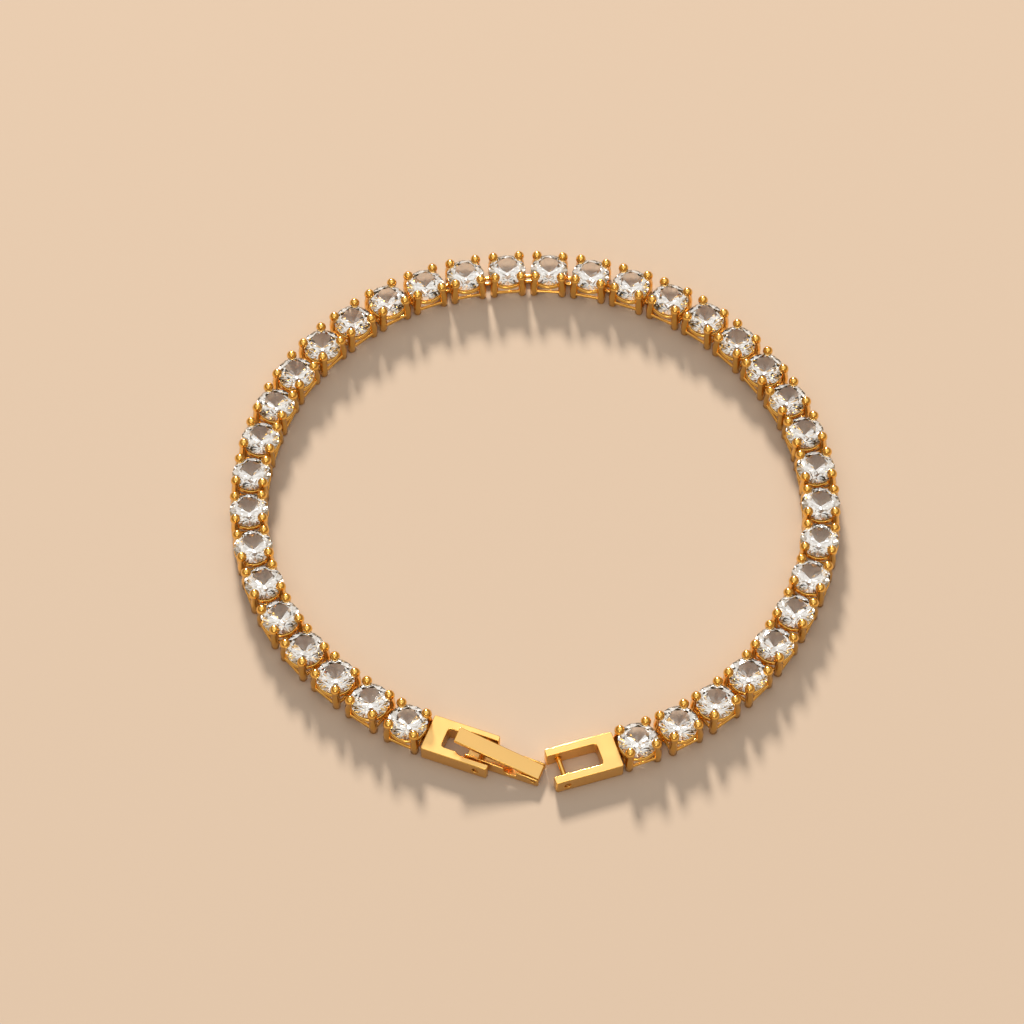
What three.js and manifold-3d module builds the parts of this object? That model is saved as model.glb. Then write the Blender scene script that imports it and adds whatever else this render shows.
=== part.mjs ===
// A tennis bracelet: a line of round brilliant stones, each in its own four-claw basket, joined by
// oval links and fastened by a fold-over clasp, laid open on a flat surface.
// Millimetres, +Z up. The origin is the middle of the loop's box, on the surface that it lies on.
import * as THREE from "three";
import { ConvexGeometry } from "three/addons/geometries/ConvexGeometry.js";
import { mergeVertices } from "three/addons/utils/BufferGeometryUtils.js";
import Module from "manifold-3d";

const wasm = await Module();
wasm.setup();
const { Manifold, Mesh: ManifoldMesh } = wasm;

const FLATNESS = 1e-4; // points this close to each other, to one plane or to one line are joined
const HALVINGS = 40; // of a range in which a size is searched for

// Row of stones
const STONE_COUNT = 37;
const PITCH = 4.5; // from the middle of one stone to the next
const CLEARANCE = 0.05; // between a stone, a pin or a lever and what holds it

// Round brilliant stone
const STONE_DIAMETER = 4.0;
const TABLE_DIAMETER = 2.25;
const CROWN_HEIGHT = 0.66;
const PAVILION_DEPTH = 1.72;
const STAR_TIP_RADIUS = 1.45; // where the eight star facets end
const MAIN_FACETS = 8;

// Four-claw basket
const GIRDLE_HEIGHT = 2.32; // of the stone's girdle over the foot of the claws
const CLAW_WIDTH = 0.72;
const CLAW_DEPTH = 0.4; // outside the girdle
const CLAW_FOOT_DEPTH = 0.84;
const CLAW_CORE = 0.3; // how far from a claw's middle the rings turn inside it
const CLAW_SHOULDER = 0.4; // how far below its top a claw's outer face begins to lean in
const CLAW_OVER_GIRDLE = 1.1; // the claws' tips stand this far over the girdle
const CLAW_GRIP = 0.3; // how far a claw's lip reaches over the crown
const RAIL_HEIGHT = 0.72; // middle of the lower rail over the foot
const RAIL_SPACING = 3.36; // across the basket, from rail to rail
const RAIL_SIZE = 0.36;
const GALLERY_DEPTH = 0.42; // of the upper ring, from top to bottom
const GALLERY_DROP = 0.3; // from the girdle down to the upper ring
const GALLERY_DIAMETER = 4.26;
const GALLERY_SEAT = 0.1; // how far inside a claw's outer face the ring's corner ends
const GALLERY_WALL = 0.2;

// Oval links between the baskets
const LINK_WIRE = 0.4;
const LINK_HEIGHT = 1.38;
const LINK_BITE = 0.04; // how far a link that is soldered to its rails sinks into them
const LINK_SLACK = 0.07; // between a loose link and its rails
const LOOSE_LINK_SIDES = 5;
const LOOSE_LINK_STEPS = 12;

// Route of the row on the surface, clockwise from the first stone. The radius is a share of the
// loop's mean radius, which follows from the pitch, the number of stones and the clasp.
const ROUTE = [
  { angle: -115, radius: 1.016 },
  { angle: -148, radius: 1.008 },
  { angle: -180, radius: 0.999 },
  { angle: -212, radius: 0.999 },
  { angle: -244, radius: 0.998 },
  { angle: -276, radius: 0.986 },
  { angle: -308, radius: 0.986 },
  { angle: -340, radius: 0.994 },
  { angle: -372, radius: 1.01 },
  { angle: -404, radius: 1.03 },
  { angle: -430, radius: 1.049 },
  { angle: -452, radius: 1.035 },
];

const RADIUS_MARGIN = 1.15; // the loop's mean radius is within this factor of a round loop's

// Fold-over clasp: both frames
const FRAME_LENGTH = 7.0;
const FRAME_WIDTH = 4.1;
const FRAME_HEIGHT = 1.75;
const FRAME_CORNER = 0.22;
const SLOT_BACK = 1.85; // from a frame's back face to its slot
const SLOT_CORNER = 0.35;
const PIN_INSET = 1.2; // from the ends of a frame's arms to its pin
const PIN_HEIGHT = 0.8;
const PIN_DIAMETER = 0.52;
const PIN_SIDES = 10;
const PIN_RECESS = 0.06; // of a pin's ends in the frame's sides
const POCKET_WIDTH = 0.8; // the pocket in a frame's back face that takes its end link
const POCKET_ROOF = 0.28;
const EYE_INSET = 0.74; // from a frame's back face to the bar that the end link holds

// Fold-over clasp: the first frame's stepped slot, the tray and the lever
const STEP_LENGTH = 1.6; // of the narrow part of the slot
const STEP_RAMP = 0.45;
const NARROW_SLOT = 2.2;
const WIDE_SLOT = 2.9;
const CATCH_SLOT = 2.4;
const TRAY_WIDTH = 2.2;
const TRAY_WALL = 0.2;
const TRAY_FLOOR = 0.25;
const TRAY_HEEL = 1.5; // behind the rivet
const TRAY_REACH = 6.3; // in front of the rivet
const TRAY_TIP_HEIGHT = 1.05;
const NOTCH_PLACE = 3.3; // from the rivet to the middle of the catch bar's notch
const NOTCH_LENGTH = 1.3;
const LEVER_LENGTH = 8.75; // from its hinge to its free end
const LEVER_NOSE = 0.5; // past its hinge, over the tray's tip
const LEVER_THICKNESS = 0.4;
const LEVER_GROOVE = 0.2; // depth of the groove over the catch bar
const HINGE_INSET = 0.55; // from the tray's tip to the lever's hinge
const HINGE_HEIGHT = 0.72;
const KNUCKLE_RADIUS = 0.42;
const HINGE_PIN_DIAMETER = 0.4;
const LEVER_SHUT_ANGLE = 4; // degrees over the tray's floor when the lever is shut
const LEVER_ANGLE = 14; // as it lies

// How the clasp's halves lie
const CLASP_BEND = 38; // degrees between the two halves
const TIP_CLEARANCE = 0.15;

const GOLD = new THREE.MeshStandardMaterial({ color: 0xd9a441, roughness: 0.24, metalness: 1 });
const PALE_GOLD = new THREE.MeshStandardMaterial({ color: 0xe6bd6e, roughness: 0.34, metalness: 1 });
const CRYSTAL = new THREE.MeshStandardMaterial({ color: 0xf4f1ec, roughness: 0.04, metalness: 0 });

const radians = THREE.MathUtils.degToRad;
const bracelet = new THREE.Group();

// Solids and geometries
function solidOf(geometry) {
  const bare = geometry.clone();
  bare.deleteAttribute("normal");
  bare.deleteAttribute("uv");
  const merged = mergeVertices(bare, FLATNESS);
  return new Manifold(
    new ManifoldMesh({
      numProp: 3,
      vertProperties: merged.attributes.position.array,
      triVerts: new Uint32Array(merged.index.array),
    }),
  );
}

function geometryOf(solid) {
  const clean = solid.asOriginal().simplify(FLATNESS);
  const { numProp, numVert, vertProperties, triVerts } = clean.getMesh();
  const positions = new Float32Array(numVert * 3);
  for (let i = 0; i < numVert; i += 1) {
    positions.set(vertProperties.subarray(i * numProp, i * numProp + 3), i * 3);
  }
  const indexed = new THREE.BufferGeometry();
  indexed.setAttribute("position", new THREE.BufferAttribute(positions, 3));
  indexed.setIndex(new THREE.BufferAttribute(triVerts, 1));
  const geometry = indexed.toNonIndexed();
  geometry.computeVertexNormals();
  return geometry;
}

function joined(geometries) {
  return Manifold.union(geometries.map(solidOf));
}

function cut(solid, geometries) {
  return solid.subtract(joined(geometries));
}

function piece(parent, name, geometry, material) {
  const mesh = new THREE.Mesh(geometry, material);
  mesh.name = name;
  parent.add(mesh);
  return mesh;
}

// The size between two limits at which the measure that grows with it reaches its goal.
function solved(low, high, goal, measure) {
  for (let i = 0; i < HALVINGS; i += 1) {
    const middle = (low + high) / 2;
    if (measure(middle) < goal) low = middle;
    else high = middle;
  }
  return low;
}

// A closed outline through {x, y, r} corners, each rounded to its own radius.
function roundedShape(corners, steps = 2) {
  const points = [];
  corners.forEach((corner, i) => {
    const here = new THREE.Vector2(corner.x, corner.y);
    if (!corner.r) {
      points.push(here);
      return;
    }
    const before = corners[(i + corners.length - 1) % corners.length];
    const after = corners[(i + 1) % corners.length];
    const back = new THREE.Vector2(before.x, before.y).sub(here).normalize().multiplyScalar(corner.r);
    const on = new THREE.Vector2(after.x, after.y).sub(here).normalize().multiplyScalar(corner.r);
    const bend = new THREE.QuadraticBezierCurve(here.clone().add(back), here, here.clone().add(on));
    points.push(...bend.getPoints(steps));
  });
  return new THREE.Shape(points);
}

// A closed ring through its sections, each a loop of the same number of corners.
function closedRing(sections) {
  const positions = [];
  const put = (...points) => points.forEach((p) => positions.push(p.x, p.y, p.z));
  sections.forEach((section, i) => {
    const next = sections[(i + 1) % sections.length];
    section.forEach((corner, k) => {
      const j = (k + 1) % section.length;
      put(corner, next[j], section[j]);
      put(corner, next[k], next[j]);
    });
  });
  const geometry = new THREE.BufferGeometry();
  geometry.setAttribute("position", new THREE.Float32BufferAttribute(positions, 3));
  geometry.computeVertexNormals();
  return geometry;
}

// A flat outline drawn in x and z, as thick as width along y and centred on it.
function sideExtrusion(shape, width) {
  const geometry = new THREE.ExtrudeGeometry(shape, { depth: width, bevelEnabled: false });
  geometry.translate(0, 0, -width / 2);
  geometry.rotateX(Math.PI / 2);
  return geometry;
}

function uprightExtrusion(shape, height) {
  return new THREE.ExtrudeGeometry(shape, { depth: height, bevelEnabled: false });
}

// A round bar along y.
function crossBar(diameter, length, x, z) {
  const bar = new THREE.CylinderGeometry(diameter / 2, diameter / 2, length, PIN_SIDES);
  bar.translate(x, 0, z);
  return bar;
}

// A hole that a round bar of that diameter passes with the clearance all round.
function crossHole(diameter, length, x, z) {
  const flatToCorner = 1 / Math.cos(Math.PI / PIN_SIDES);
  return crossBar((diameter + 2 * CLEARANCE) * flatToCorner, length, x, z);
}

// Stone: table, eight stars, eight bezels, sixteen upper girdle facets and a pavilion of sixteen,
// as the hull of its corner rings. Its origin is the middle of the girdle.
function brilliant() {
  const girdle = STONE_DIAMETER / 2;
  const table = TABLE_DIAMETER / 2;
  const halfStep = Math.PI / MAIN_FACETS;
  const bezelHeight = (r) =>
    (CROWN_HEIGHT * (girdle - r * Math.cos(halfStep))) / (girdle - table);
  const ring = (radius, z, count, turn) =>
    Array.from({ length: count }, (_, i) => {
      const angle = (2 * Math.PI * i) / count + turn;
      return new THREE.Vector3(radius * Math.cos(angle), radius * Math.sin(angle), z);
    });
  return new ConvexGeometry([
    ...ring(table, CROWN_HEIGHT, MAIN_FACETS, 0),
    ...ring(STAR_TIP_RADIUS, bezelHeight(STAR_TIP_RADIUS), MAIN_FACETS, halfStep),
    ...ring(girdle, 0, 2 * MAIN_FACETS, 0),
    new THREE.Vector3(0, 0, -PAVILION_DEPTH),
  ]);
}

// Basket
// One claw in the plane of its own diagonal: foot, outer face, top, lip and notch.
function claw() {
  const inner = STONE_DIAMETER / 2 + CLEARANCE;
  const outer = STONE_DIAMETER / 2 + CLAW_DEPTH;
  const top = GIRDLE_HEIGHT + CLAW_OVER_GIRDLE;
  const crownSlope = CROWN_HEIGHT / ((STONE_DIAMETER - TABLE_DIAMETER) / 2);
  const lipHeight = GIRDLE_HEIGHT + CLEARANCE * 2 + CLAW_GRIP * crownSlope;
  const profile = new THREE.Shape([
    new THREE.Vector2(outer - CLAW_FOOT_DEPTH, 0),
    new THREE.Vector2(outer, 0),
    new THREE.Vector2(outer, top - CLAW_SHOULDER),
    new THREE.Vector2(inner, top),
    new THREE.Vector2(inner - CLAW_GRIP, lipHeight),
    new THREE.Vector2(inner, GIRDLE_HEIGHT),
  ]);
  return sideExtrusion(profile, CLAW_WIDTH);
}

// The square lower rail, which the links hold. Its corners are cut off inside the claws.
function lowerRail() {
  const cutOff = CLAW_CORE * Math.SQRT2;
  const square = (half) =>
    [
      [half, half - cutOff],
      [half - cutOff, half],
      [cutOff - half, half],
      [-half, half - cutOff],
      [-half, cutOff - half],
      [cutOff - half, -half],
      [half - cutOff, -half],
      [half, cutOff - half],
    ].map(([x, y]) => new THREE.Vector2(x, y));
  const shape = new THREE.Shape(square((RAIL_SPACING + RAIL_SIZE) / 2));
  shape.holes.push(new THREE.Path(square((RAIL_SPACING - RAIL_SIZE) / 2)));
  const rail = uprightExtrusion(shape, RAIL_SIZE);
  rail.translate(0, 0, RAIL_HEIGHT - RAIL_SIZE / 2);
  return rail;
}

// The upper ring round the stone's pavilion, with a corner at each side and two in each claw.
function gallery() {
  const side = GALLERY_DIAMETER / 2;
  const seat = STONE_DIAMETER / 2 + CLAW_DEPTH - GALLERY_SEAT;
  const spread = Math.asin(CLAW_CORE / seat);
  const top = GIRDLE_HEIGHT - GALLERY_DROP;
  const section = (radius, angle) => {
    const at = (r, z) => new THREE.Vector3(r * Math.cos(angle), r * Math.sin(angle), z);
    const inner = radius * (1 - GALLERY_WALL / side);
    return [at(radius, top), at(inner, top), at(radius, top - GALLERY_DEPTH)];
  };
  const quarters = [0, 90, 180, 270].map(radians);
  return closedRing(
    quarters.flatMap((angle) => [
      section(side, angle),
      section(seat, angle + Math.PI / 4 - spread),
      section(seat, angle + Math.PI / 4 + spread),
    ]),
  );
}

function basket() {
  const claws = [45, 135, 225, 315].map((angle) => claw().rotateZ(radians(angle)));
  return joined([...claws, lowerRail(), gallery()]);
}

// Links
const RAIL_GAP = PITCH - RAIL_SPACING; // between the middles of two neighbours' rails

// A link that is soldered to both rails: a flat oval plate with an opening, along x.
function fixedLink() {
  const hole = (RAIL_GAP + RAIL_SIZE) / 2 - LINK_BITE;
  const half = hole + LINK_WIRE;
  const tall = LINK_HEIGHT / 2;
  const shape = new THREE.Shape([
    new THREE.Vector2(-half, -tall / 2),
    new THREE.Vector2(LINK_WIRE - half, -tall),
    new THREE.Vector2(half - LINK_WIRE, -tall),
    new THREE.Vector2(half, -tall / 2),
    new THREE.Vector2(half, tall / 2),
    new THREE.Vector2(half - LINK_WIRE, tall),
    new THREE.Vector2(LINK_WIRE - half, tall),
    new THREE.Vector2(-half, tall / 2),
  ]);
  const low = tall - LINK_WIRE;
  shape.holes.push(
    new THREE.Path([
      new THREE.Vector2(-hole, -low),
      new THREE.Vector2(hole, -low),
      new THREE.Vector2(hole, low),
      new THREE.Vector2(-hole, low),
    ]),
  );
  const link = sideExtrusion(shape, LINK_WIRE);
  link.translate(0, 0, RAIL_HEIGHT);
  return link;
}

// A loose link of round wire, which passes two bars with a little slack.
function looseLink() {
  const wire = LINK_WIRE / 2;
  const half = (RAIL_GAP + RAIL_SIZE) / 2 + LINK_SLACK + wire;
  const tall = LINK_HEIGHT / 2 - wire;
  const straight = half - tall;
  const sections = Array.from({ length: LOOSE_LINK_STEPS }, (_, i) => {
    const turn = (-2 * Math.PI * (i + 0.5)) / LOOSE_LINK_STEPS;
    const out = new THREE.Vector3(Math.cos(turn), 0, Math.sin(turn));
    const middle = new THREE.Vector3(straight * Math.sign(out.x), 0, 0).addScaledVector(out, tall);
    return Array.from({ length: LOOSE_LINK_SIDES }, (_, k) => {
      const angle = (2 * Math.PI * k) / LOOSE_LINK_SIDES;
      const across = new THREE.Vector3(0, wire * Math.sin(angle), 0);
      return middle.clone().addScaledVector(out, wire * Math.cos(angle)).add(across);
    });
  });
  return closedRing(sections);
}

// Route
const END_SPAN = RAIL_SPACING / 2 + RAIL_GAP - EYE_INSET; // last stone's middle to a frame's back
const RIVET_PLACE = FRAME_LENGTH - PIN_INSET;
const TRAY_TIP = RIVET_PLACE + TRAY_REACH;
const TIP_GAP = (TRAY_WIDTH / 2) * Math.sin(radians(CLASP_BEND)) + TIP_CLEARANCE;
const FIRST_RUN = END_SPAN + TRAY_TIP;
const SECOND_RUN = TIP_GAP + FRAME_LENGTH + END_SPAN;
const CLASP_SPAN = Math.sqrt(
  FIRST_RUN ** 2 + SECOND_RUN ** 2 + 2 * FIRST_RUN * SECOND_RUN * Math.cos(radians(CLASP_BEND)),
);

const unitRoute = new THREE.CatmullRomCurve3(
  ROUTE.map(({ angle, radius }) => {
    const a = radians(angle);
    return new THREE.Vector3(radius * Math.cos(a), radius * Math.sin(a), 0);
  }),
  true,
);

// The stones' places on a loop of that mean radius, each a pitch from the one before.
function stonePlaces(meanRadius) {
  const at = (t) => unitRoute.getPoint(t).multiplyScalar(meanRadius);
  const found = [at(0)];
  let from = 0;
  while (found.length < STONE_COUNT) {
    const last = found[found.length - 1];
    from = solved(from, from + 1 / ROUTE.length, PITCH, (t) => at(t).distanceTo(last));
    found.push(at(from));
  }
  return found;
}

// The mean radius at which the clasp just fits between the last stone and the first.
function fittedRadius() {
  const nearly = (STONE_COUNT * PITCH + CLASP_SPAN) / (2 * Math.PI);
  return solved(nearly / RADIUS_MARGIN, nearly * RADIUS_MARGIN, CLASP_SPAN, (radius) => {
    const row = stonePlaces(radius);
    return row[0].distanceTo(row[STONE_COUNT - 1]);
  });
}

const places = stonePlaces(fittedRadius());
const headingFrom = (a, b) => Math.atan2(b.y - a.y, b.x - a.x);
const spanHeading = headingFrom(places[0], places[STONE_COUNT - 1]);
const firstTurn = Math.asin((SECOND_RUN * Math.sin(radians(CLASP_BEND))) / CLASP_SPAN);
const claspHeading = spanHeading - firstTurn;
const catchHeading = claspHeading + radians(CLASP_BEND);
// Each basket faces midway between its two links, and the end ones between a link and the clasp.
const linkHeadings = places.slice(1).map((place, i) => headingFrom(places[i], place));
const headings = places.map((_, i) => {
  const before = i === 0 ? claspHeading + Math.PI : linkHeadings[i - 1];
  const after = i === STONE_COUNT - 1 ? catchHeading + Math.PI : linkHeadings[i];
  return before + Math.atan2(Math.sin(after - before), Math.cos(after - before)) / 2;
});

// Stones and the row of baskets
const stoneGeometry = brilliant();
places.forEach((place, i) => {
  const number = String(i + 1).padStart(2, "0");
  const stone = piece(bracelet, `stone_${number}`, stoneGeometry, CRYSTAL);
  stone.position.set(place.x, place.y, GIRDLE_HEIGHT);
  stone.rotation.z = headings[i];
});

const basketGeometry = geometryOf(basket());
const fixedLinkGeometry = fixedLink();
const looseLinkGeometry = looseLink();
const halfway = Math.floor(STONE_COUNT / 2);

function placed(geometry, x, y, heading) {
  return geometry.clone().rotateZ(heading).translate(x, y, 0);
}

// Baskets from one stone to another and the soldered links between them, as one solid.
function basketRow(first, last) {
  const parts = [];
  for (let i = first; i <= last; i += 1) {
    parts.push(placed(basketGeometry, places[i].x, places[i].y, headings[i]));
    if (i < last) {
      const middle = places[i].clone().add(places[i + 1]).multiplyScalar(0.5);
      parts.push(placed(fixedLinkGeometry, middle.x, middle.y, linkHeadings[i]));
    }
  }
  return geometryOf(joined(parts));
}

piece(bracelet, "basket_row_left", basketRow(0, halfway - 1), GOLD);
piece(bracelet, "basket_row_right", basketRow(halfway, STONE_COUNT - 1), GOLD);

function addLooseLink(name, x, y, heading) {
  const link = piece(bracelet, name, looseLinkGeometry, GOLD);
  link.position.set(x, y, RAIL_HEIGHT);
  link.rotation.z = heading;
}

const middlePlace = places[halfway - 1].clone().add(places[halfway]).multiplyScalar(0.5);
addLooseLink("middle_link", middlePlace.x, middlePlace.y, linkHeadings[halfway - 1]);
const endLinkReach = (RAIL_SPACING + RAIL_GAP) / 2;
addLooseLink(
  "clasp_end_link",
  places[0].x + endLinkReach * Math.cos(claspHeading),
  places[0].y + endLinkReach * Math.sin(claspHeading),
  claspHeading,
);
addLooseLink(
  "catch_end_link",
  places[STONE_COUNT - 1].x - endLinkReach * Math.cos(catchHeading),
  places[STONE_COUNT - 1].y - endLinkReach * Math.sin(catchHeading),
  catchHeading,
);

// Clasp. Each half has its back face at x = 0 and its arms along +x.
const pocketDepth = EYE_INSET + RAIL_SIZE / 2 + 2 * LINK_SLACK + LINK_WIRE;

// The pocket in a frame's back, open at the back and below, and the bar across it.
function withPocket(frame) {
  const pocketHeight = FRAME_HEIGHT - POCKET_ROOF;
  const pocket = new THREE.BoxGeometry(2 * pocketDepth, POCKET_WIDTH, 2 * pocketHeight);
  const bar = new THREE.BoxGeometry(RAIL_SIZE, POCKET_WIDTH + RAIL_SIZE, RAIL_SIZE);
  bar.translate(EYE_INSET, 0, RAIL_HEIGHT);
  return cut(frame, [pocket]).add(solidOf(bar));
}

function claspFrame() {
  const side = FRAME_WIDTH / 2;
  const narrow = NARROW_SLOT / 2;
  const wide = WIDE_SLOT / 2;
  const step = SLOT_BACK + STEP_LENGTH;
  const half = [
    { x: 0, y: side, r: FRAME_CORNER },
    { x: FRAME_LENGTH, y: side, r: FRAME_CORNER },
    { x: FRAME_LENGTH, y: wide, r: 0 },
    { x: step + STEP_RAMP, y: wide, r: STEP_RAMP / 2 },
    { x: step, y: narrow, r: 0 },
    { x: SLOT_BACK, y: narrow, r: SLOT_CORNER },
  ];
  return uFrame(half, RIVET_PLACE);
}

function catchFrame() {
  const side = FRAME_WIDTH / 2;
  const slot = CATCH_SLOT / 2;
  const half = [
    { x: 0, y: side, r: FRAME_CORNER },
    { x: FRAME_LENGTH, y: side, r: FRAME_CORNER },
    { x: FRAME_LENGTH, y: slot, r: 0 },
    { x: SLOT_BACK, y: slot, r: SLOT_CORNER },
  ];
  return uFrame(half, FRAME_LENGTH - PIN_INSET);
}

// A frame from the corners of its left half, mirrored, with the hole for its pin.
function uFrame(half, pinPlace) {
  const mirrored = half.map((corner) => ({ ...corner, y: -corner.y })).reverse();
  const body = solidOf(uprightExtrusion(roundedShape([...mirrored, ...half].reverse()), FRAME_HEIGHT));
  const hole = crossHole(PIN_DIAMETER, 2 * FRAME_WIDTH, pinPlace, PIN_HEIGHT);
  return geometryOf(withPocket(cut(body, [hole])));
}

const leverSlope = Math.tan(radians(LEVER_SHUT_ANGLE));
const hingePlace = TRAY_TIP - HINGE_INSET;
const trayTop = (x) => TRAY_TIP_HEIGHT + (TRAY_TIP - x) * leverSlope;

// The tray: a channel between the arms with a notch in each wall for the catch bar.
function tray() {
  const heel = RIVET_PLACE - TRAY_HEEL;
  const notch = RIVET_PLACE + NOTCH_PLACE;
  const notchFloor = PIN_HEIGHT - PIN_DIAMETER / 2 - CLEARANCE;
  const nearSide = notch - NOTCH_LENGTH / 2;
  const farSide = notch + NOTCH_LENGTH / 2;
  const outline = roundedShape([
    { x: heel, y: 0, r: 0 },
    { x: TRAY_TIP, y: 0, r: TRAY_FLOOR },
    { x: TRAY_TIP, y: TRAY_TIP_HEIGHT, r: TRAY_WALL },
    { x: farSide, y: trayTop(farSide), r: 0 },
    { x: farSide, y: notchFloor, r: 0 },
    { x: nearSide, y: notchFloor, r: PIN_DIAMETER },
    { x: nearSide, y: trayTop(nearSide), r: 0 },
    { x: heel, y: trayTop(heel), r: TRAY_WALL },
  ]);
  const body = solidOf(sideExtrusion(outline, TRAY_WIDTH));
  const channel = new THREE.BoxGeometry(2 * TRAY_TIP, TRAY_WIDTH - 2 * TRAY_WALL, 2 * FRAME_HEIGHT);
  channel.translate(TRAY_TIP, 0, TRAY_FLOOR + FRAME_HEIGHT);
  const mouth = new THREE.BoxGeometry(2 * (TRAY_TIP - hingePlace), TRAY_WIDTH - 2 * TRAY_WALL, FRAME_HEIGHT);
  mouth.translate(TRAY_TIP, 0, 0);
  return geometryOf(
    cut(body, [
      channel,
      mouth,
      crossHole(PIN_DIAMETER, FRAME_WIDTH, RIVET_PLACE, PIN_HEIGHT),
      crossHole(HINGE_PIN_DIAMETER, FRAME_WIDTH, hingePlace, HINGE_HEIGHT),
    ]),
  );
}

// The lever about its own hinge, lying along -x: a flat bar that ends in the hinge's knuckle.
function lever() {
  const top = KNUCKLE_RADIUS;
  const under = top - LEVER_THICKNESS;
  const groove = hingePlace - RIVET_PLACE - NOTCH_PLACE;
  const outline = roundedShape([
    { x: LEVER_NOSE, y: top, r: LEVER_THICKNESS / 2 },
    { x: -LEVER_LENGTH, y: top, r: 0 },
    { x: -LEVER_LENGTH, y: under, r: LEVER_THICKNESS / 2 },
    { x: -groove - PIN_DIAMETER, y: under, r: 0 },
    { x: -groove - PIN_DIAMETER / 2, y: under + LEVER_GROOVE, r: 0 },
    { x: -groove + PIN_DIAMETER / 2, y: under + LEVER_GROOVE, r: 0 },
    { x: -groove + PIN_DIAMETER, y: under, r: 0 },
    { x: LEVER_NOSE, y: under, r: 0 },
  ]);
  const width = TRAY_WIDTH - 2 * TRAY_WALL - 2 * CLEARANCE;
  const knuckle = crossBar(2 * KNUCKLE_RADIUS, width, 0, 0);
  const hole = crossHole(HINGE_PIN_DIAMETER, 2 * width, 0, 0);
  return geometryOf(cut(joined([sideExtrusion(outline, width), knuckle]), [hole]));
}

const claspHalf = new THREE.Group();
claspHalf.position.set(
  places[0].x + END_SPAN * Math.cos(claspHeading),
  places[0].y + END_SPAN * Math.sin(claspHeading),
  0,
);
claspHalf.rotation.z = claspHeading;
bracelet.add(claspHalf);
piece(claspHalf, "clasp_frame", claspFrame(), PALE_GOLD);
piece(claspHalf, "clasp_tray", tray(), PALE_GOLD);
const rivetLength = FRAME_WIDTH - 2 * PIN_RECESS;
piece(claspHalf, "clasp_rivet", crossBar(PIN_DIAMETER, rivetLength, RIVET_PLACE, PIN_HEIGHT), GOLD);
const hingePinLength = TRAY_WIDTH - 2 * PIN_RECESS;
piece(claspHalf, "lever_pin", crossBar(HINGE_PIN_DIAMETER, hingePinLength, hingePlace, HINGE_HEIGHT), GOLD);
const claspLever = piece(claspHalf, "clasp_lever", lever(), PALE_GOLD);
claspLever.position.set(hingePlace, 0, HINGE_HEIGHT);
claspLever.rotation.y = radians(LEVER_ANGLE);

const catchHalf = new THREE.Group();
const lastPlace = places[STONE_COUNT - 1];
catchHalf.position.set(
  lastPlace.x - END_SPAN * Math.cos(catchHeading),
  lastPlace.y - END_SPAN * Math.sin(catchHeading),
  0,
);
catchHalf.rotation.z = catchHeading + Math.PI;
bracelet.add(catchHalf);
piece(catchHalf, "catch_frame", catchFrame(), PALE_GOLD);
piece(
  catchHalf,
  "catch_bar",
  crossBar(PIN_DIAMETER, rivetLength, FRAME_LENGTH - PIN_INSET, PIN_HEIGHT),
  GOLD,
);

// The origin goes to the middle of the box, at its foot.
const box = new THREE.Box3().setFromObject(bracelet, true);
const centre = box.getCenter(new THREE.Vector3());
bracelet.position.set(-centre.x, -centre.y, -box.min.z);

export default bracelet;
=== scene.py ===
"""Finished look of the tennis bracelet: cut stones, claw baskets, links and the fold-over clasp,
on a plain floor under soft light."""

import math

import bmesh
import bpy
from bpy.props import (
    FloatProperty,
    FloatVectorProperty,
    IntProperty,
    PointerProperty,
)
from mathutils import Matrix, Vector

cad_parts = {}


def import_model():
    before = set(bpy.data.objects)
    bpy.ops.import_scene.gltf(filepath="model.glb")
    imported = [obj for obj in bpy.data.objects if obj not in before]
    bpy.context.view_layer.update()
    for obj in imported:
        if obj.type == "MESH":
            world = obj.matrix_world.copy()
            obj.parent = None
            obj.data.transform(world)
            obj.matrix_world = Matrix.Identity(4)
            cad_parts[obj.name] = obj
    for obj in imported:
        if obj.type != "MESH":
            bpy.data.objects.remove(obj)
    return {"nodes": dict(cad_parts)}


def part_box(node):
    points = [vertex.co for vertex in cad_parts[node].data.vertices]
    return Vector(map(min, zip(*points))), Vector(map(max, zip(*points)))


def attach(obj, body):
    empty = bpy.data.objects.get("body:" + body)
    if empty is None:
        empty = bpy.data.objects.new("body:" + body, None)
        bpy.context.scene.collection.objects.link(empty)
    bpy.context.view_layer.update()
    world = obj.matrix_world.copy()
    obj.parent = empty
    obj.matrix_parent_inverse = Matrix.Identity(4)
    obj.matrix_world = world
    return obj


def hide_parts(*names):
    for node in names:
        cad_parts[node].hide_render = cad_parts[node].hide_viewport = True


bl_info = {
    "name": "Tennis Bracelet",
    "version": (1, 0, 0),
    "blender": (4, 5, 0),
    "location": "View3D > Sidebar > Bracelet",
    "description": "Builds the finished stones, baskets, links and clasp of a tennis bracelet",
    "category": "Add Mesh",
}

MM = 0.001
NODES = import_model()["nodes"]
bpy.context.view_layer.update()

STONE_NODES = sorted(name for name in NODES if name.startswith("stone_"))
HALFWAY = len(STONE_NODES) // 2

# Proportions and fineness that stay fixed

MERGE = 0.001 * MM  # points closer than this are one
SMOOTH_WIRE = math.radians(50)  # flatter edges of claws, wire and pins look smooth
SMOOTH_PLATE = math.radians(30)  # flatter edges of the clasp look smooth

GIRDLE_HEIGHT = 2.32 * MM  # over the foot of the claws
MAIN_FACETS = 8
STAR_TIP = 0.73  # share of the stone's radius at which its star facets end
LOWER_TIP = 0.24  # share of the stone's radius at which its lower girdle facets end
FLAT_FACET = math.radians(0.5)  # flatter edges inside a facet are dissolved

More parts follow.
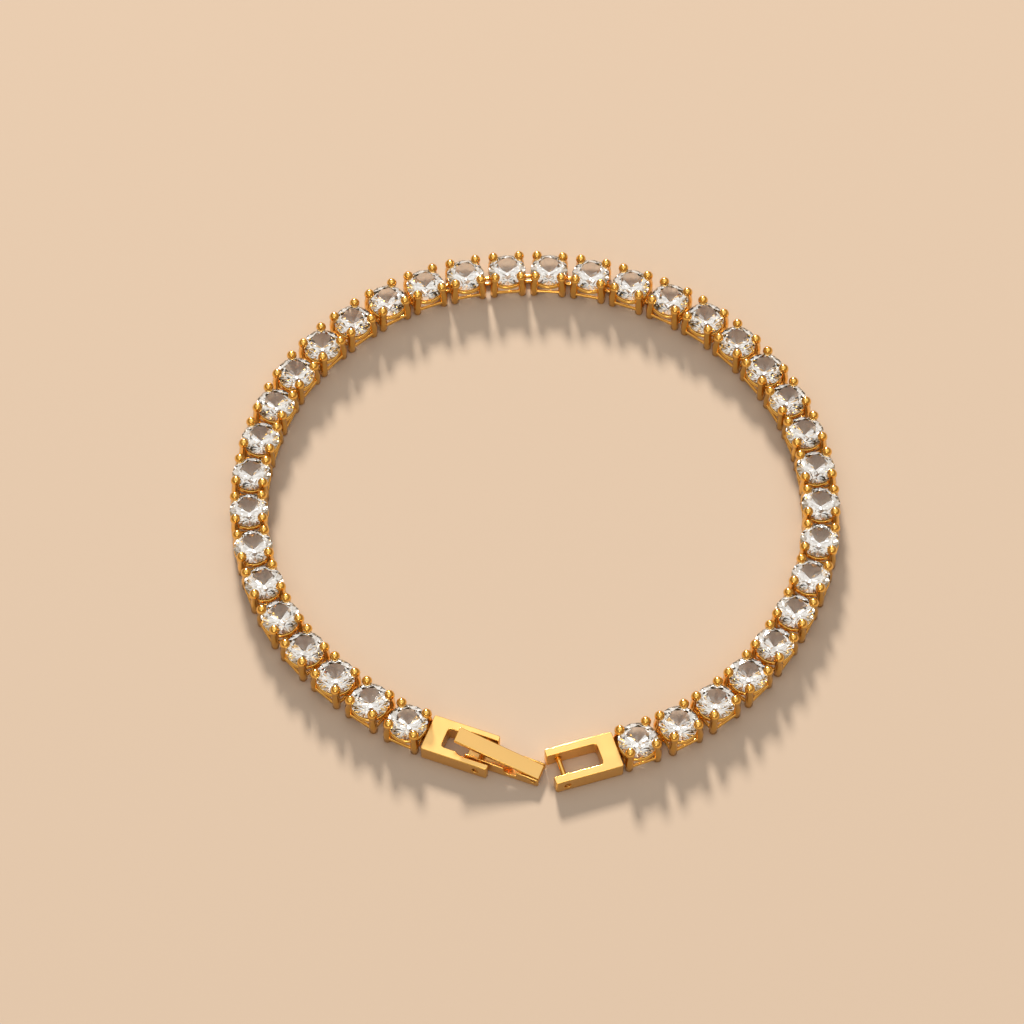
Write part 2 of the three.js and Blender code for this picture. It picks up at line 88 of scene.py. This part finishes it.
CLAW_SIDES = 14
CLAW_ANGLES = (45, 135, 225, 315)
FOOT_WIDTH = 0.8  # share of the leg's radius
FOOT_HEIGHT = 0.12 * MM
STRAIGHT_LEG = 0.6  # share of the height to the neck that stays upright
NECK_WIDTH = 0.92  # share of the leg's radius
NECK_DROP = 0.9  # share of the ball's radius, from its middle down to the neck
BALL_START = -45  # degrees from level at which the ball tip begins
BALL_STEPS = 7

WIRE_SIDES = 10
RING_STEPS = 32
LINK_STEPS = 24
RAIL_ANGLES = (0, 90, 180, 270)

FLAT_PLATE = math.radians(1)  # flatter edges of a CAD plate are dissolved
SHARP_PLATE = math.radians(40)  # sharper edges of a CAD plate are rounded
BRIGHT = 1  # material index of the rounded edges
PIN_NECK = 0.62  # share of a pin's radius at its stepped ends
PIN_STEP = 0.16 * MM

SMUDGE_RANGE = (0.35, 0.7)  # noise values that become smooth and smudged
RELIEF_DEPTH = 0.01 * MM

# Studio: lamps aim at the origin, in metres and watts, and the sky is coloured by height

LAMPS = {
    "key": {"place": (-0.3, 2.16, 1.15), "size": 0.42, "power": 105.0, "colour": (1.0, 0.88, 0.74)},
    "above": {"place": (0.02, 0.06, 0.7), "size": 0.2, "power": 0.4, "colour": (1.0, 0.99, 0.97)},
    "front": {"place": (-0.1, -0.6, 0.4), "size": 0.25, "power": 0.5, "colour": (1.0, 0.95, 0.88)},
}
SKY_HORIZON = (0.48, (0.34, 0.24, 0.14, 1.0))
SKY_DOME = (0.9, (1.0, 0.97, 0.93, 1.0))
SKY_ZENITH = (0.985, (0.68, 0.64, 0.6, 1.0))
FLOOR_REACH = 1.5
SENSOR_WIDTH = 36.0


# Places read from the frame


def middle(node):
    """Middle of a CAD node's box."""
    low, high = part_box(node)
    return (low + high) / 2


def heading(a, b):
    """Direction from one point to another, as an angle about Z."""
    return math.atan2(b.y - a.y, b.x - a.x)


def placed(point, turn):
    """Matrix that turns a shape about Z and moves it to a point."""
    return Matrix.Translation(point) @ Matrix.Rotation(turn, 4, "Z")


def halfway_turn(a, b):
    """The angle midway between two directions."""
    return a + math.atan2(math.sin(b - a), math.cos(b - a)) / 2


STONES = [middle(name) for name in STONE_NODES]
LINK_HEADINGS = [heading(a, b) for a, b in zip(STONES, STONES[1:])]
CLASP_HEADING = heading(middle("clasp_end_link"), middle("clasp_rivet"))
CATCH_HEADING = heading(middle("catch_bar"), middle("catch_end_link"))


def basket_turns():
    """Each basket faces midway between the links on its two sides."""
    before = [CLASP_HEADING + math.pi, *LINK_HEADINGS]
    after = [*LINK_HEADINGS, CATCH_HEADING + math.pi]
    return [halfway_turn(a, b) for a, b in zip(before, after)]


# Sizes and colours that a user would change


class StoneSettings(bpy.types.PropertyGroup):
    diameter: FloatProperty(
        name="Diameter", description="Across the girdle", default=4.0 * MM, unit="LENGTH"
    )
    table: FloatProperty(
        name="Table", description="Width of the table", default=2.35 * MM, unit="LENGTH"
    )
    crown: FloatProperty(
        name="Crown", description="Height above the girdle", default=0.62 * MM, unit="LENGTH"
    )
    girdle: FloatProperty(
        name="Girdle", description="Thickness of the girdle", default=0.06 * MM, unit="LENGTH"
    )
    pavilion: FloatProperty(
        name="Pavilion", description="Depth below the girdle", default=1.7 * MM, unit="LENGTH"
    )
    colour: FloatVectorProperty(
        name="Colour",
        description="Body colour of the stone",
        default=(1.0, 0.99, 0.965),
        subtype="COLOR",
        min=0.0,
        max=1.0,
    )
    refraction: FloatProperty(
        name="Refraction", description="Refractive index", default=1.8, min=1.0, max=3.0
    )


class BasketSettings(bpy.types.PropertyGroup):
    claw_radius: FloatProperty(
        name="Claw Radius", description="Of a claw's leg", default=0.43 * MM, unit="LENGTH"
    )
    claw_reach: FloatProperty(
        name="Claw Reach",
        description="From the stone's axis to a leg",
        default=2.13 * MM,
        unit="LENGTH",
    )
    claw_height: FloatProperty(
        name="Claw Height", description="From foot to tip", default=3.42 * MM, unit="LENGTH"
    )
    tip_radius: FloatProperty(
        name="Tip Radius", description="Of a claw's ball tip", default=0.53 * MM, unit="LENGTH"
    )
    tip_lean: FloatProperty(
        name="Tip Lean", description="How far a tip leans in", default=0.2 * MM, unit="LENGTH"
    )
    ring_radius: FloatProperty(
        name="Ring Radius", description="Of the upper ring", default=1.76 * MM, unit="LENGTH"
    )
    ring_height: FloatProperty(
        name="Ring Height", description="Of the upper ring", default=1.62 * MM, unit="LENGTH"
    )
    ring_wire: FloatProperty(
        name="Ring Wire", description="Thickness of the upper ring", default=0.5 * MM, unit="LENGTH"
    )
    wire: FloatProperty(
        name="Rail Wire", description="Thickness of the lower rails", default=0.36 * MM, unit="LENGTH"
    )
    rail_spacing: FloatProperty(
        name="Rail Spacing", description="Between the lower rails", default=3.36 * MM, unit="LENGTH"
    )
    rail_height: FloatProperty(
        name="Rail Height", description="Of the lower rails", default=0.72 * MM, unit="LENGTH"
    )


class LinkSettings(bpy.types.PropertyGroup):
    wire: FloatProperty(
        name="Wire", description="Thickness of a link's wire", default=0.4 * MM, unit="LENGTH"
    )
    length: FloatProperty(
        name="Length", description="Over the wire", default=2.36 * MM, unit="LENGTH"
    )
    height: FloatProperty(
        name="Height", description="Over the wire", default=1.38 * MM, unit="LENGTH"
    )


class ClaspSettings(bpy.types.PropertyGroup):
    edge: FloatProperty(
        name="Edge", description="Width of the rounded edges", default=0.08 * MM, unit="LENGTH"
    )
    edge_steps: IntProperty(
        name="Edge Steps", description="Faces across a rounded edge", default=3, min=1, max=6
    )
    pin_sides: IntProperty(
        name="Pin Sides", description="Of the round pins", default=32, min=12, max=64
    )


class MetalSettings(bpy.types.PropertyGroup):
    polished: FloatVectorProperty(
        name="Polished Gold",
        description="Colour of the claws, rings and links",
        default=(0.93, 0.55, 0.135),
        subtype="COLOR",
        min=0.0,
        max=1.0,
    )
    satin: FloatVectorProperty(
        name="Satin Gold",
        description="Colour of the clasp",
        default=(0.9, 0.57, 0.205),
        subtype="COLOR",
        min=0.0,
        max=1.0,
    )


class StudioSettings(bpy.types.PropertyGroup):
    floor: FloatVectorProperty(
        name="Floor",
        description="Colour of the floor",
        default=(0.49, 0.405, 0.33),
        subtype="COLOR",
        min=0.0,
        max=1.0,
    )
    elevation: FloatProperty(
        name="Elevation",
        description="Of the camera above the floor",
        default=math.radians(56.6),
        subtype="ANGLE",
    )
    distance: FloatProperty(
        name="Distance", description="From camera to aim", default=380 * MM, unit="LENGTH"
    )
    aim: FloatVectorProperty(
        name="Aim",
        description="Point that the camera looks at",
        default=(-2.37 * MM, -0.83 * MM, 2.3 * MM),
        subtype="XYZ",
        unit="LENGTH",
    )
    lens: FloatProperty(
        name="Lens", description="Focal length in millimetres", default=130.3, min=20.0, max=300.0
    )


SETTINGS = {
    "bracelet_stones": StoneSettings,
    "bracelet_baskets": BasketSettings,
    "bracelet_links": LinkSettings,
    "bracelet_clasp": ClaspSettings,
    "bracelet_metal": MetalSettings,
    "bracelet_studio": StudioSettings,
}


# Materials


def handling_marks():
    """Node group: faint smudges and hairlines that vary a metal's roughness and height."""
    name = "handling marks"
    if name in bpy.data.node_groups:
        return bpy.data.node_groups[name]
    group = bpy.data.node_groups.new(name, "ShaderNodeTree")
    inputs = {"Smooth": 0.15, "Smudged": 0.3, "Smudge Scale": 400.0, "Line Scale": 2500.0}
    for label, value in inputs.items():
        socket = group.interface.new_socket(label, in_out="INPUT", socket_type="NodeSocketFloat")
        socket.default_value = value
    for label in ("Roughness", "Height"):
        group.interface.new_socket(label, in_out="OUTPUT", socket_type="NodeSocketFloat")
    start = group.nodes.new("NodeGroupInput")
    end = group.nodes.new("NodeGroupOutput")
    place = group.nodes.new("ShaderNodeTexCoord")
    smudge = group.nodes.new("ShaderNodeTexNoise")
    smudge.inputs["Detail"].default_value = 4.0
    group.links.new(place.outputs["Object"], smudge.inputs["Vector"])
    group.links.new(start.outputs["Smudge Scale"], smudge.inputs["Scale"])
    spread = group.nodes.new("ShaderNodeMapRange")
    spread.inputs["From Min"].default_value = SMUDGE_RANGE[0]
    spread.inputs["From Max"].default_value = SMUDGE_RANGE[1]
    group.links.new(smudge.outputs["Fac"], spread.inputs["Value"])
    group.links.new(start.outputs["Smooth"], spread.inputs["To Min"])
    group.links.new(start.outputs["Smudged"], spread.inputs["To Max"])
    group.links.new(spread.outputs["Result"], end.inputs["Roughness"])
    hairline = group.nodes.new("ShaderNodeTexNoise")
    hairline.inputs["Detail"].default_value = 2.0
    group.links.new(place.outputs["Object"], hairline.inputs["Vector"])
    group.links.new(start.outputs["Line Scale"], hairline.inputs["Scale"])
    group.links.new(hairline.outputs["Fac"], end.inputs["Height"])
    return group


def gold(name, colour, smooth, smudged, relief):
    """Gold with its own colour, roughness range and depth of hairlines."""
    if name in bpy.data.materials:
        return bpy.data.materials[name]
    material = bpy.data.materials.new(name)
    material.use_nodes = True
    tree = material.node_tree
    shader = tree.nodes["Principled BSDF"]
    shader.inputs["Base Color"].default_value = (*colour, 1.0)
    shader.inputs["Metallic"].default_value = 1.0
    marks = tree.nodes.new("ShaderNodeGroup")
    marks.node_tree = handling_marks()
    marks.inputs["Smooth"].default_value = smooth
    marks.inputs["Smudged"].default_value = smudged
    bump = tree.nodes.new("ShaderNodeBump")
    bump.inputs["Strength"].default_value = relief
    bump.inputs["Distance"].default_value = RELIEF_DEPTH
    tree.links.new(marks.outputs["Roughness"], shader.inputs["Roughness"])
    tree.links.new(marks.outputs["Height"], bump.inputs["Height"])
    tree.links.new(bump.outputs["Normal"], shader.inputs["Normal"])
    return material


def polished_gold():
    """Bright gold of the claws, rings, links, pins and rounded edges."""
    colour = bpy.context.scene.bracelet_metal.polished
    return gold("bright gold", colour, smooth=0.1, smudged=0.2, relief=0.1)


def satin_gold():
    """Soft gold of the clasp's plates."""
    colour = bpy.context.scene.bracelet_metal.satin
    return gold("soft gold", colour, smooth=0.28, smudged=0.33, relief=0.1)


def crystal():
    """Clear, strongly refracting stone."""
    if "clear stone" in bpy.data.materials:
        return bpy.data.materials["clear stone"]
    settings = bpy.context.scene.bracelet_stones
    material = bpy.data.materials.new("clear stone")
    material.use_nodes = True
    shader = material.node_tree.nodes["Principled BSDF"]
    shader.inputs["Base Color"].default_value = (*settings.colour, 1.0)
    shader.inputs["Metallic"].default_value = 0.0
    shader.inputs["Roughness"].default_value = 0.0
    shader.inputs["IOR"].default_value = settings.refraction
    shader.inputs["Transmission Weight"].default_value = 1.0
    return material


def floor_finish():
    """Plain matte floor."""
    material = bpy.data.materials.new("floor")
    material.use_nodes = True
    shader = material.node_tree.nodes["Principled BSDF"]
    shader.inputs["Base Color"].default_value = (*bpy.context.scene.bracelet_studio.floor, 1.0)
    shader.inputs["Roughness"].default_value = 0.9
    shader.inputs["Specular IOR Level"].default_value = 0.2
    return material


# Shapes


def finished(bm, name, material, smooth_angle=None):
    """Object at the origin from a bmesh whose points are already in place."""
    mesh = bpy.data.meshes.new(name)
    bm.to_mesh(mesh)
    bm.free()
    mesh.materials.append(material)
    if smooth_angle is not None:
        mesh.shade_smooth()
        mesh.set_sharp_from_angle(angle=smooth_angle)
    piece = bpy.data.objects.new(name, mesh)
    bpy.context.scene.collection.objects.link(piece)
    return piece


def take_place(piece, body, slot, *nodes):
    """The piece rides a body and stands for the CAD nodes."""
    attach(piece, body)
    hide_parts(*nodes)


def add_copies(bm, shape, matrices):
    """Adds the shape at each place."""
    mesh = bpy.data.meshes.new("shape")
    shape.to_mesh(mesh)
    for matrix in matrices:
        copy = mesh.copy()
        copy.transform(matrix)
        bm.from_mesh(copy)
        bpy.data.meshes.remove(copy)
    bpy.data.meshes.remove(mesh)


def spun(profile, sides):
    """Closed solid from an outline of (radius, height) points turned about Z."""
    bm = bmesh.new()
    verts = [bmesh.ops.create_vert(bm, co=(r, 0, z))["vert"][0] for r, z in profile]
    edges = [bm.edges.new(pair) for pair in zip(verts, verts[1:])]
    bmesh.ops.spin(
        bm,
        geom=verts + edges,
        cent=(0, 0, 0),
        axis=(0, 0, 1),
        angle=2 * math.pi,
        steps=sides,
        use_merge=True,
    )
    bmesh.ops.remove_doubles(bm, verts=bm.verts, dist=MERGE)
    bmesh.ops.recalc_face_normals(bm, faces=bm.faces)
    return bm


def wire_loop(width, height, wire, steps, sides):
    """Rounded oblong loop of round wire about Z, its length along X, both sizes over the wire."""
    bm = bmesh.new()
    ring = bmesh.ops.create_circle(
        bm, segments=sides, radius=wire / 2, matrix=Matrix.Rotation(math.pi / 2, 4, "X")
    )["verts"]
    across = (height - wire) / 2
    bmesh.ops.translate(bm, verts=ring, vec=(across, 0, 0))
    bmesh.ops.spin(
        bm,
        geom=ring + bm.edges[:],
        cent=(0, 0, 0),
        axis=(0, 0, 1),
        angle=2 * math.pi,
        steps=steps,
        use_merge=True,
    )
    shift = (width - height) / 2
    for side in (-1, 1):
        half = [v for v in bm.verts if v.co.x * side > 0]
        bmesh.ops.translate(bm, verts=half, vec=(side * shift, 0, 0))
    bmesh.ops.recalc_face_normals(bm, faces=bm.faces)
    return bm


def brilliant(settings):
    """Round brilliant about Z, with the middle of its girdle at the origin."""
    radius = settings.diameter / 2
    table = settings.table / 2
    turn = math.pi / MAIN_FACETS
    rim = settings.girdle / 2
    star = STAR_TIP * radius
    star_drop = settings.crown * (star * math.cos(turn) - table) / (radius - table)
    low = LOWER_TIP * radius
    low_drop = settings.pavilion * (1 - low * math.cos(turn) / radius)
    rings = (
        (MAIN_FACETS, table, rim + settings.crown, 0.0),
        (MAIN_FACETS, star, rim + settings.crown - star_drop, turn),
        (2 * MAIN_FACETS, radius, rim, 0.0),
        (2 * MAIN_FACETS, radius, -rim, 0.0),
        (MAIN_FACETS, low, -rim - low_drop, turn),
    )
    bm = bmesh.new()
    for corners, ring, height, start in rings:
        place = Matrix.Translation((0, 0, height)) @ Matrix.Rotation(start, 4, "Z")
        bmesh.ops.create_circle(bm, segments=corners, radius=ring, matrix=place)
    bmesh.ops.create_vert(bm, co=(0, 0, -rim - settings.pavilion))
    bmesh.ops.convex_hull(bm, input=bm.verts)
    bmesh.ops.dissolve_limit(bm, angle_limit=FLAT_FACET, verts=bm.verts, edges=bm.edges)
    inner = [e for e in bm.edges if e.is_wire]
    bmesh.ops.delete(bm, geom=inner, context="EDGES")
    bmesh.ops.recalc_face_normals(bm, faces=bm.faces)
    return bm


def claw(settings):
    """One round claw about Z: foot, leg, neck and ball tip, leaning towards -X at its tip."""
    leg = settings.claw_radius
    tip = settings.tip_radius
    top = settings.claw_height
    ball = top - tip
    neck = ball - NECK_DROP * tip
    bend = STRAIGHT_LEG * neck
    profile = [(0, 0), (FOOT_WIDTH * leg, 0), (leg, FOOT_HEIGHT), (leg, bend), (NECK_WIDTH * leg, neck)]
    for step in range(1, BALL_STEPS):
        angle = math.radians(BALL_START + (90 - BALL_START) * step / BALL_STEPS)
        profile.append((tip * math.cos(angle), ball + tip * math.sin(angle)))
    profile.append((0, top))
    bm = spun(profile, CLAW_SIDES)
    for vert in bm.verts:
        lean = max(0.0, (vert.co.z - bend) / (top - bend))
        vert.co.x -= settings.tip_lean * lean
    return bm


def basket(settings):
    """Basket about Z with its foot at Z = 0: four claws, the upper ring and the lower rails."""
    bm = bmesh.new()
    one = claw(settings)
    corners = [
        Matrix.Rotation(math.radians(angle), 4, "Z") @ Matrix.Translation((settings.claw_reach, 0, 0))
        for angle in CLAW_ANGLES
    ]
    add_copies(bm, one, corners)
    one.free()
    across = 2 * settings.ring_radius + settings.ring_wire
    ring = wire_loop(across, across, settings.ring_wire, RING_STEPS, WIRE_SIDES)
    add_copies(bm, ring, [Matrix.Translation((0, 0, settings.ring_height))])
    ring.free()
    half = settings.rail_spacing / 2
    rail = bmesh.new()
    bmesh.ops.create_cone(
        rail,
        cap_ends=True,
        segments=WIRE_SIDES,
        radius1=settings.wire / 2,
        radius2=settings.wire / 2,
        depth=settings.rail_spacing - settings.claw_radius,
        matrix=Matrix.Translation((half, 0, settings.rail_height))
        @ Matrix.Rotation(math.pi / 2, 4, "X"),
    )
    add_copies(bm, rail, [Matrix.Rotation(math.radians(a), 4, "Z") for a in RAIL_ANGLES])
    rail.free()
    return bm


def upright_link(settings, rail_height):
    """Oval link standing on edge, its length along X and its middle at the rails' height."""
    link = wire_loop(settings.length, settings.height, settings.wire, LINK_STEPS, WIRE_SIDES)
    bmesh.ops.rotate(link, verts=link.verts, matrix=Matrix.Rotation(math.pi / 2, 3, "X"))
    bmesh.ops.translate(link, verts=link.verts, vec=(0, 0, rail_height))
    return link


def softened_copy(node, edge, steps):
    """Merged copy of a CAD node with its sharp edges rounded."""
    bm = bmesh.new()
    bm.from_mesh(NODES[node].data)
    bmesh.ops.remove_doubles(bm, verts=bm.verts, dist=MERGE)
    bmesh.ops.dissolve_limit(bm, angle_limit=FLAT_PLATE, verts=bm.verts, edges=bm.edges)
    sharp = [e for e in bm.edges if e.is_manifold and e.calc_face_angle() > SHARP_PLATE]
    rounded = bmesh.ops.bevel(
        bm,
        geom=sharp,
        offset=edge,
        offset_type="OFFSET",
        affect="EDGES",
        segments=steps,
        profile=0.5,
        material=-1,
        clamp_overlap=False,
    )
    for face in rounded["faces"]:
        face.material_index = BRIGHT
    return bm


def bar_place(node):
    """Centre, direction, radius and half length of a level round bar."""
    mesh = NODES[node].data
    centre = middle(node)
    far = max(mesh.vertices, key=lambda v: (v.co - centre).length).co
    low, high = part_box(node)
    radius = (high.z - low.z) / 2
    away = far - centre
    away.z = 0
    turn = math.atan2(away.y, away.x)
    return centre, turn, radius, away.length


# Operators


class BRACELET_OT_stones(bpy.types.Operator):
    """Cut stones, each in place of its plain one"""

    bl_idname = "bracelet.stones"
    bl_label = "Stones"

    def execute(self, context):
        cut = brilliant(context.scene.bracelet_stones)
        for name, stone, turn in zip(STONE_NODES, STONES, basket_turns()):
            bm = bmesh.new()
            add_copies(bm, cut, [placed((stone.x, stone.y, GIRDLE_HEIGHT), turn)])
            piece = finished(bm, name.replace("stone", "cut_stone"), crystal())
            take_place(piece, "bracelet", "crystal", name)
        cut.free()
        return {"FINISHED"}


class BRACELET_OT_baskets(bpy.types.Operator):
    """Claw baskets and the soldered links between them, in two rows"""

    bl_idname = "bracelet.baskets"
    bl_label = "Baskets"

    def execute(self, context):
        settings = context.scene.bracelet_baskets
        one = basket(settings)
        link = upright_link(context.scene.bracelet_links, settings.rail_height)
        turns = basket_turns()
        for side, first, last in (
            ("left", 0, HALFWAY - 1),
            ("right", HALFWAY, len(STONES) - 1),
        ):
            bm = bmesh.new()
            places = [placed((STONES[i].x, STONES[i].y, 0), turns[i]) for i in range(first, last + 1)]
            add_copies(bm, one, places)
            between = [
                placed(((STONES[i] + STONES[i + 1]) / 2).to_2d().to_3d(), LINK_HEADINGS[i])
                for i in range(first, last)
            ]
            add_copies(bm, link, between)
            piece = finished(bm, f"baskets_{side}", polished_gold(), SMOOTH_WIRE)
            take_place(piece, "bracelet", "polished_gold", f"basket_row_{side}")
        one.free()
        link.free()
        return {"FINISHED"}


class BRACELET_OT_links(bpy.types.Operator):
    """The three loose links"""

    bl_idname = "bracelet.links"
    bl_label = "Loose Links"

    def execute(self, context):
        turns = {
            "middle_link": LINK_HEADINGS[HALFWAY - 1],
            "clasp_end_link": CLASP_HEADING,
            "catch_end_link": CATCH_HEADING,
        }
        height = context.scene.bracelet_baskets.rail_height
        link = upright_link(context.scene.bracelet_links, height)
        for name, turn in turns.items():
            bm = bmesh.new()
            add_copies(bm, link, [placed(middle(name).to_2d().to_3d(), turn)])
            piece = finished(bm, f"round_{name}", polished_gold(), SMOOTH_WIRE)
            take_place(piece, "bracelet", "polished_gold", name)
        link.free()
        return {"FINISHED"}


class BRACELET_OT_clasp(bpy.types.Operator):
    """Frames, tray and lever with rounded bright edges"""

    bl_idname = "bracelet.clasp"
    bl_label = "Clasp"

    def execute(self, context):
        settings = context.scene.bracelet_clasp
        bodies = {
            "clasp_frame": "bracelet",
            "catch_frame": "bracelet",
            "clasp_tray": "tray",
            "clasp_lever": "lever",
        }
        for node, body in bodies.items():
            bm = softened_copy(node, settings.edge, settings.edge_steps)
            piece = finished(bm, f"softened_{node}", satin_gold(), SMOOTH_PLATE)
            piece.data.materials.append(polished_gold())
            even = piece.modifiers.new("even faces", "WEIGHTED_NORMAL")
            even.weight = 100
            even.keep_sharp = True
            take_place(piece, body, "satin_gold", node)
        return {"FINISHED"}


class BRACELET_OT_pins(bpy.types.Operator):
    """Rivet, lever pin and catch bar as smooth round bars"""

    bl_idname = "bracelet.pins"
    bl_label = "Pins"

    def execute(self, context):
        sides = context.scene.bracelet_clasp.pin_sides
        bodies = {"clasp_rivet": "bracelet", "catch_bar": "bracelet", "lever_pin": "tray"}
        for node, body in bodies.items():
            centre, turn, radius, half = bar_place(node)
            neck = PIN_NECK * radius
            shank = half - PIN_STEP
            side = [(0, half), (neck, half), (neck, shank), (radius, shank)]
            bm = spun(side + [(r, -h) for r, h in reversed(side)], sides)
            bm.transform(placed(centre, turn) @ Matrix.Rotation(math.pi / 2, 4, "Y"))
            piece = finished(bm, f"round_{node}", polished_gold(), SMOOTH_WIRE)
            take_place(piece, body, "polished_gold", node)
        return {"FINISHED"}


class BRACELET_OT_studio(bpy.types.Operator):
    """Floor, soft lights and camera"""

    bl_idname = "bracelet.studio"
    bl_label = "Studio"

    def execute(self, context):
        settings = context.scene.bracelet_studio
        bm = bmesh.new()
        bmesh.ops.create_grid(bm, x_segments=1, y_segments=1, size=FLOOR_REACH)
        floor = finished(bm, "floor", floor_finish())
        for name, lamp in LAMPS.items():
            self.add_lamp(context, name, **lamp)
        self.add_world(context)
        self.add_camera(context, settings)
        return {"FINISHED"}

    def add_lamp(self, context, name, place, size, power, colour):
        light = bpy.data.lights.new(name, "AREA")
        light.shape = "DISK"
        light.size = size
        light.energy = power
        light.color = colour
        lamp = bpy.data.objects.new(name, light)
        lamp.location = place
        lamp.rotation_euler = (-Vector(place)).to_track_quat("-Z", "Y").to_euler()
        context.scene.collection.objects.link(lamp)

    def add_world(self, context):
        world = bpy.data.worlds.new("studio")
        world.use_nodes = True
        tree = world.node_tree
        background = tree.nodes["Background"]
        direction = tree.nodes.new("ShaderNodeTexCoord")
        split = tree.nodes.new("ShaderNodeSeparateXYZ")
        fade = tree.nodes.new("ShaderNodeValToRGB")
        fade.color_ramp.interpolation = "EASE"
        horizon, dome = fade.color_ramp.elements
        horizon.position, horizon.color = SKY_HORIZON
        dome.position, dome.color = SKY_DOME
        height, colour = SKY_ZENITH
        fade.color_ramp.elements.new(height).color = colour
        tree.links.new(direction.outputs["Generated"], split.inputs["Vector"])
        tree.links.new(split.outputs["Z"], fade.inputs["Fac"])
        tree.links.new(fade.outputs["Color"], background.inputs["Color"])
        context.scene.world = world
        context.scene.view_settings.view_transform = "Standard"

    def add_camera(self, context, settings):
        data = bpy.data.cameras.new("camera")
        data.lens = settings.lens
        data.sensor_width = SENSOR_WIDTH
        data.clip_start = 1 * MM
        data.clip_end = 10.0
        camera = bpy.data.objects.new("camera", data)
        aim = Vector(settings.aim)
        back = Vector((0, -math.cos(settings.elevation), math.sin(settings.elevation)))
        camera.location = aim + back * settings.distance
        camera.rotation_euler = (-back).to_track_quat("-Z", "Y").to_euler()
        context.scene.collection.objects.link(camera)
        context.scene.camera = camera


STEPS = (
    BRACELET_OT_stones,
    BRACELET_OT_baskets,
    BRACELET_OT_links,
    BRACELET_OT_clasp,
    BRACELET_OT_pins,
    BRACELET_OT_studio,
)


class BRACELET_PT_panel(bpy.types.Panel):
    """Sizes, colours and the steps that build the bracelet"""

    bl_idname = "BRACELET_PT_panel"
    bl_label = "Tennis Bracelet"
    bl_space_type = "VIEW_3D"
    bl_region_type = "UI"
    bl_category = "Bracelet"

    def draw(self, context):
        for name, group in SETTINGS.items():
            column = self.layout.box().column()
            settings = getattr(context.scene, name)
            for prop in group.__annotations__:
                column.prop(settings, prop)
        for step in STEPS:
            self.layout.operator(step.bl_idname)


def register():
    for group in SETTINGS.values():
        bpy.utils.register_class(group)
    for name, group in SETTINGS.items():
        setattr(bpy.types.Scene, name, PointerProperty(type=group))
    for step in STEPS:
        bpy.utils.register_class(step)
    bpy.utils.register_class(BRACELET_PT_panel)


def unregister():
    bpy.utils.unregister_class(BRACELET_PT_panel)
    for step in reversed(STEPS):
        bpy.utils.unregister_class(step)
    for name, group in reversed(SETTINGS.items()):
        delattr(bpy.types.Scene, name)
        bpy.utils.unregister_class(group)


def main():
    register()
    bpy.ops.bracelet.stones()
    bpy.ops.bracelet.baskets()
    bpy.ops.bracelet.links()
    bpy.ops.bracelet.clasp()
    bpy.ops.bracelet.pins()
    bpy.ops.bracelet.studio()


if __name__ == "__main__":
    main()
